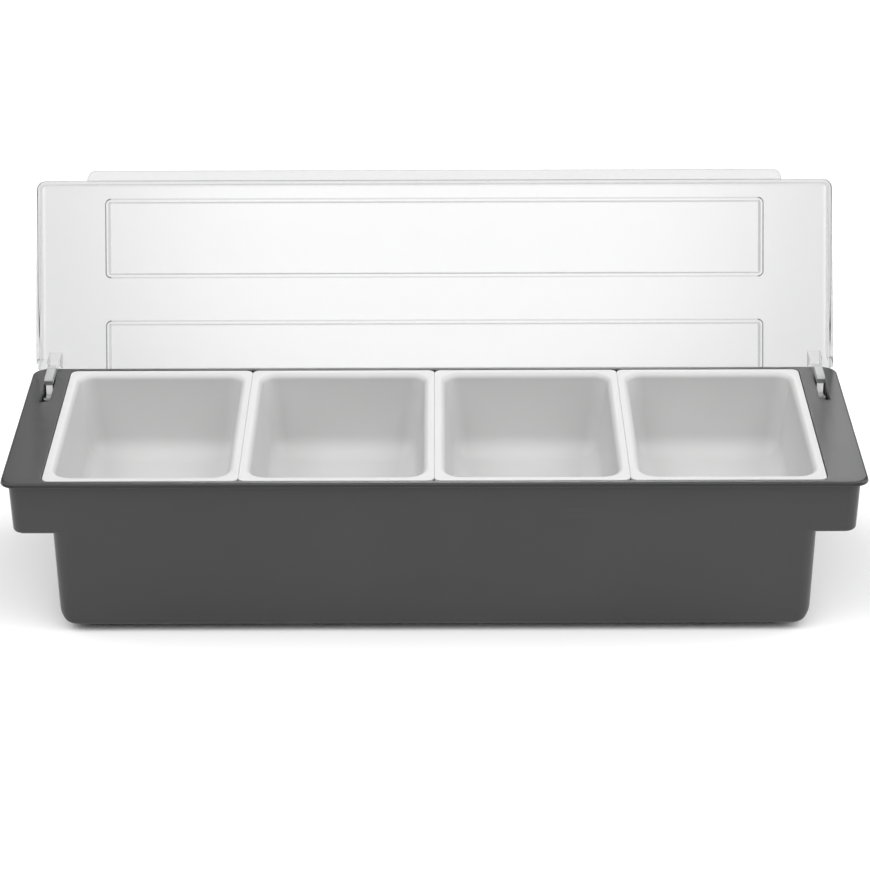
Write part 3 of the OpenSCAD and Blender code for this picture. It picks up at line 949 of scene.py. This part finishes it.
def lid_shell(lid, hinge):
    """Plate and skirts in the plate's own frame, cut off behind level with the deck when open."""
    front, back, top = -lid.front, lid.back, lid.rise + lid.thick
    deep, middle, thick, free = back - front, (front + back) / 2, lid.thick, lid.skirt_round
    inside = rounded([
        (thick + 3, lid.rise, 0), (thick, lid.rise, lid.inner_round), (thick, lid.rise - 3, 0)
    ])
    edge = rounded([(thick, 2, 0), (thick, 0, free), (0, 0, free), (0, 2, 0)])
    outside = rounded([(0, top - 5, 0), (0, top, lid.outer_round), (4, top, 0)], 5)
    slope, edge_start = -math.tan(lid.slope), edge_height(lid, 0)

    def walls(profile, start, lean):
        return [
            (*outline, start + high, 0, middle, lean)
            for *outline, high in stepped(lid.width, deep, lid.corner, profile)
        ]

    shell = lofted([
        *walls(inside[:-1], 0, 0), *walls(edge[1:-1], edge_start, slope), *walls(outside[1:], 0, 0)
    ])
    over_deck, ceiling = hinge.deck_drop + lid.skirt_clear, lid.rise + 2 * SLIVER
    sine, cosine = math.sin(lid.lean), math.cos(lid.lean)
    foot = -(over_deck + edge_start * sine) / (cosine + slope * sine)
    end = -(over_deck + ceiling * sine) / cosine
    step = (end - foot) / (ceiling - edge_height(lid, foot))
    behind = [
        (foot - step * PAST, edge_height(lid, foot) - PAST), (end, ceiling),
        (back + PAST, ceiling), (back + PAST, edge_start - PAST),
    ]
    return combine(shell, "DIFFERENCE", prism(behind, -lid.width, lid.width))


def lifting_tab(lid):
    """The tab along the lid's front edge, level when the lid is shut."""
    front, thick, above = -lid.front, lid.thick, 0.25
    slab = rounded([(1.5, 0, 0), (0, 0, 0.5), (0, thick, 0.8), (2, thick, 0)])
    at_edge = Matrix.Translation((0, front, edge_height(lid, front) + above))
    tab = lofted(
        stepped(lid.tab_width, 2 * lid.tab_reach, lid.tab_corner, slab),
        at_edge @ Matrix.Rotation(-lid.slope, 4, "X"),
    )
    start, end, top = front + thick / 2, front + PAST, lid.rise + thick
    trim = [(start, -PAST), (start, top), (end, top), (end, -PAST)]
    return combine(tab, "DIFFERENCE", prism(trim, -lid.width, lid.width))


def panel(lid, deep, side, step, y, profile, sides):
    """A panel as a loose object: its profile's insets are widened or narrowed at the two ends."""
    return lofted([
        (
            lid.panel_width - 2 * side - 2 * inset * sides, deep - 2 * step - 2 * inset,
            max(0.5, lid.panel_corner - step - inset), high, 0, y,
        )
        for inset, high in profile
    ])


def lid_cover(lid, hinge):
    """Plate, skirts, raised panels, moulding mark and lifting tab, in the plate's own frame."""
    cover = combine(lid_shell(lid, hinge), "UNION", lifting_tab(lid))
    top, half, bend, sink = lid.rise + lid.thick, lid.panel_slope / 2, 0.4, 0.05
    panel_top, panel_roof = top + lid.panel_rise, lid.rise + lid.panel_rise
    plain = lid.panel_margin + lid.panel_gap + lid.panel_back
    deep = (lid.back + lid.front - plain) / 2
    first = -lid.front + lid.panel_margin + deep / 2
    raised = rounded([
        (half, top - OVERLAP, 0), (-half, top - sink, 0), (half, panel_top, bend),
        (half + 2, panel_top, 0),
    ])
    sunk = rounded([
        (-half, lid.rise - 2 * OVERLAP, 0), (-half, lid.rise, 0), (half, panel_roof, bend),
        (half + 0.6, panel_roof, 0),
    ])
    recesses = []
    for y in (first, first + deep + lid.panel_gap):
        combine(cover, "UNION", panel(lid, deep, 0, 0, y, raised, RAISED_SIDES))
        recesses.append(panel(lid, deep, lid.panel_side, lid.panel_step, y, sunk, SUNK_SIDES))
    mark = stepped(*disc(2 * lid.gate), [
        (0, panel_roof + OVERLAP), (0, panel_top - sink), (0.5, panel_top + 0.3),
    ])
    at_mark = Matrix.Translation((-lid.gate_side, first + lid.gate_back, 0))
    combine(cover, "UNION", lofted(mark, at_mark))
    return combine(cover, "DIFFERENCE", *recesses)


def mark_edge_shade(cover, lid):
    """Gives each face of the lid its share of the painted edge shade: the panels' ends take it all.
    """
    walls = cover.data.attributes.new(EDGE_SHADE_SHARE, "FLOAT", "FACE")
    for face in cover.data.polygons:
        level, from_end = abs(face.normal.z), abs(abs(face.center.x) - lid.panel_width / 2)
        most = 1.0 if level > WALL_TURN and from_end < PANEL_ENDS else SKIRT_SHARE
        walls.data[face.index].value = most * min(1.0, (1 - level) / WALL_TURN)


def hinge_arm(lid, hinge, side):
    """One gooseneck arm, lid open, from the pivot: leg and bar, wide root with its rib, eye."""

    def plate_y(z):
        return (lid.rise + lid.thick / 2 + z * math.sin(lid.lean)) / math.cos(lid.lean)

    x, front, back = side * hinge.arm_x, -hinge.leg_deep / 2, hinge.leg_deep / 2
    low, top, half = hinge.bar_low, hinge.bar_high, hinge.bar_wide / 2
    plate = [(plate_y(top), top, 0), (plate_y(low), low, 0)]
    neck = rounded([
        (front, -OVERLAP, 0), (front, top, BEND_OUT), *plate,
        (back, low, BEND_IN), (back, -OVERLAP, 0),
    ], 6)
    leg = prism(neck, x - hinge.leg_wide / 2, x + hinge.leg_wide / 2, ARM_EDGE)
    bar = prism(
        rounded([(front, low, 0), (front, top, BEND_OUT), *plate], 6), x - half, x + half, ARM_EDGE
    )
    wide, foot = hinge.root_wide / 2, -2 * OVERLAP
    start, full, end = hinge.root_start, hinge.root_start + hinge.root_taper, plate_y(top) + OVERLAP
    plan = [(-half, start), (half, start), (wide, full), (wide, end), (-wide, end), (-wide, full)]
    block = solid(drawn_out([(x + across, y, foot) for across, y in plan], (0, 0, top - foot)))
    rib = [
        (start - OVERLAP, low), (start - OVERLAP, top), (plate_y(top), top),
        (plate_y(low / 2), low / 2), (hinge.rib_start, low),
    ]
    root = combine(block, "INTERSECT", prism(rib, x - 10 * OVERLAP, x + 10 * OVERLAP))
    eye = rod(hinge.eye, x - hinge.eye_wide / 2, x + hinge.eye_wide / 2, PIN_CHAMFER)
    arm = combine(leg, "UNION", bar, root, eye)
    return combine(arm, "DIFFERENCE", rod(hinge.bore, x - hinge.bar_wide, x + hinge.bar_wide))


class CADDY_OT_lid(bpy.types.Operator):
    """Moulds the clear lid with its panels, tab and gooseneck arms"""

    bl_idname = "caddy.lid"
    bl_label = "Lid"

    def execute(self, context):
        settings = context.scene.caddy
        lid, hinge = in_mm(settings.lid), in_mm(settings.hinge)
        cover = lid_cover(lid, hinge)
        mark_edge_shade(cover, lid)
        cover.data.transform(Matrix.Rotation(-(math.pi / 2 + lid.lean), 4, "X"))
        at_pivot = Matrix.Translation((0, hinge.pivot_y, hinge.pivot_z))
        finish(cover, "clear_lid", clear_plastic(settings.lid), "lid", ["lid"], at_pivot)
        frosted = frosted_plastic(settings.lid, hinge)
        for side, name in zip(SIDES, ("left", "right")):
            arm = hinge_arm(lid, hinge, side)
            finish(arm, f"hinge_arm_{name}", frosted, "lid", [], at_pivot)
        return {"FINISHED"}


class CADDY_OT_hinge_pins(bpy.types.Operator):
    """Cuts the two steel hinge pins"""

    bl_idname = "caddy.hinge_pins"
    bl_label = "Hinge pins"

    def execute(self, context):
        material = pin_steel(context.scene.caddy.hinge)
        for node in PINS:
            low, high = box_in_mm(node)
            pin = rod((high.z - low.z) / 2, low.x, high.x, PIN_CHAMFER)
            middle = Matrix.Translation((0, (low.y + high.y) / 2, (low.z + high.z) / 2))
            finish(pin, node + "_rod", material, "caddy", [node], middle)
        return {"FINISHED"}


class CADDY_OT_feet(bpy.types.Operator):
    """Moulds the four rubber feet"""

    bl_idname = "caddy.feet"
    bl_label = "Feet"

    def execute(self, context):
        material = foot_rubber()
        for node in FEET:
            low, high = box_in_mm(node)
            middle, roof = (low + high) / 2, low.z + FOOT_DISH
            profile = rounded([
                (FOOT_RING + 1, roof, 0), (FOOT_RING + FOOT_DISH, roof, 0),
                (FOOT_RING, low.z, 0.3), (0, low.z, 0.7), (0, high.z, 0.1), (1, high.z, 0),
            ])
            outline = stepped(*disc(high.x - low.x), profile)
            foot = lofted([(*section, middle.x, middle.y) for section in outline])
            finish(foot, node + "_pad", material, "caddy", [node])
        return {"FINISHED"}


class CADDY_OT_stage(bpy.types.Operator):
    """Sets up the pale floor, the soft light and the camera"""

    bl_idname = "caddy.stage"
    bl_label = "Stage"

    def execute(self, context):
        scene, stage = context.scene, context.scene.caddy.stage
        scene.view_settings.view_transform = "Standard"
        self.floor(scene, stage)
        self.light(scene, stage)
        self.camera(scene, stage)
        return {"FINISHED"}

    def floor(self, scene, stage):
        """A broad pale floor under the feet."""
        bm = bmesh.new()
        bmesh.ops.create_grid(bm, x_segments=8, y_segments=8, size=stage.floor_size / 2)
        bmesh.ops.translate(bm, vec=(0, 0, FOOT_LOW.z), verts=bm.verts)
        mesh = bpy.data.meshes.new("floor")
        bm.to_mesh(mesh)
        bm.free()
        ground = bpy.data.objects.new("floor", mesh)
        scene.collection.objects.link(ground)
        material, tree, shader = new_material("Pale floor")
        cloud = noise(tree, object_place(tree), 1.5, 2.0)
        paler = tuple(channel * 1.01 for channel in stage.floor_tint[:3]) + (1.0,)
        fill(tree, shader, {
            "Base Color": blend(tree, cloud, tuple(stage.floor_tint), paler),
            "Roughness": 0.9,
            "Specular IOR Level": 0.1,
        })
        mesh.materials.append(material)

    def light(self, scene, stage):
        """Soft light from all round, as broad softboxes on the sky."""
        world = bpy.data.worlds.new("Soft studio")
        world.use_nodes = True
        scene.world = world
        tree = world.node_tree
        way = add(tree, "TexCoord", {}).outputs["Generated"]
        total = stage.sky
        for azimuth, height, wide, power in SOFTBOXES:
            aim = Matrix.Rotation(math.radians(-azimuth), 3, "Z") @ Vector((
                0, math.cos(math.radians(height)), math.sin(math.radians(height))
            ))
            near = add(tree, "VectorMath", {0: way, 1: aim}, operation="DOT_PRODUCT")
            edge, core = (math.cos(math.radians(angle)) for angle in (wide, wide * BOX_CORE))
            glow = remap(
                tree, near.outputs["Value"], edge, core, 0.0, power, interpolation_type="SMOOTHSTEP"
            )
            total = maths(tree, "ADD", total, glow)
        fill(tree, tree.nodes["Background"], {"Strength": total, "Color": (1, 1, 1, 1)})

    def camera(self, scene, stage):
        """The camera in front of the caddy, looking down on it."""
        lens = bpy.data.cameras.new("camera")
        lens.lens, lens.sensor_width, lens.shift_x = stage.lens, SENSOR, stage.shift
        lens.dof.use_dof = False
        eye = bpy.data.objects.new("camera", lens)
        away = Vector((
            -math.sin(stage.yaw) * math.cos(stage.elevation),
            math.cos(stage.yaw) * math.cos(stage.elevation),
            -math.sin(stage.elevation),
        ))
        eye.location = Vector((0, 0, stage.target_high)) - away * stage.distance
        eye.rotation_mode = "QUATERNION"
        roll = Matrix.Rotation(stage.roll, 3, "Z").to_quaternion()
        eye.rotation_quaternion = away.to_track_quat("-Z", "Y") @ roll
        scene.collection.objects.link(eye)
        scene.camera = eye


OPERATORS = (
    CADDY_OT_stage, CADDY_OT_base, CADDY_OT_inserts, CADDY_OT_lid, CADDY_OT_hinge_pins,
    CADDY_OT_feet,
)


class CADDY_PT_pieces(bpy.types.Panel):
    """Lists the caddy's pieces"""

    bl_label = "Condiment caddy"
    bl_idname = "CADDY_PT_pieces"
    bl_space_type = "VIEW_3D"
    bl_region_type = "UI"
    bl_category = "Caddy"

    def draw(self, context):
        for operator in OPERATORS:
            self.layout.operator(operator.bl_idname)


CLASSES = (
    CaddyBaseSettings, CaddyInsertSettings, CaddyLidSettings, CaddyHingeSettings,
    CaddyStageSettings, CaddySettings, *OPERATORS, CADDY_PT_pieces,
)


def register():
    for item in CLASSES:
        bpy.utils.register_class(item)
    bpy.types.Scene.caddy = PointerProperty(type=CaddySettings)


def unregister():
    del bpy.types.Scene.caddy
    for item in reversed(CLASSES):
        bpy.utils.unregister_class(item)


def main():
    register()
    bpy.ops.caddy.stage()
    bpy.ops.caddy.base()
    bpy.ops.caddy.inserts()
    bpy.ops.caddy.lid()
    bpy.ops.caddy.hinge_pins()
    bpy.ops.caddy.feet()


if __name__ == "__main__":
    main()
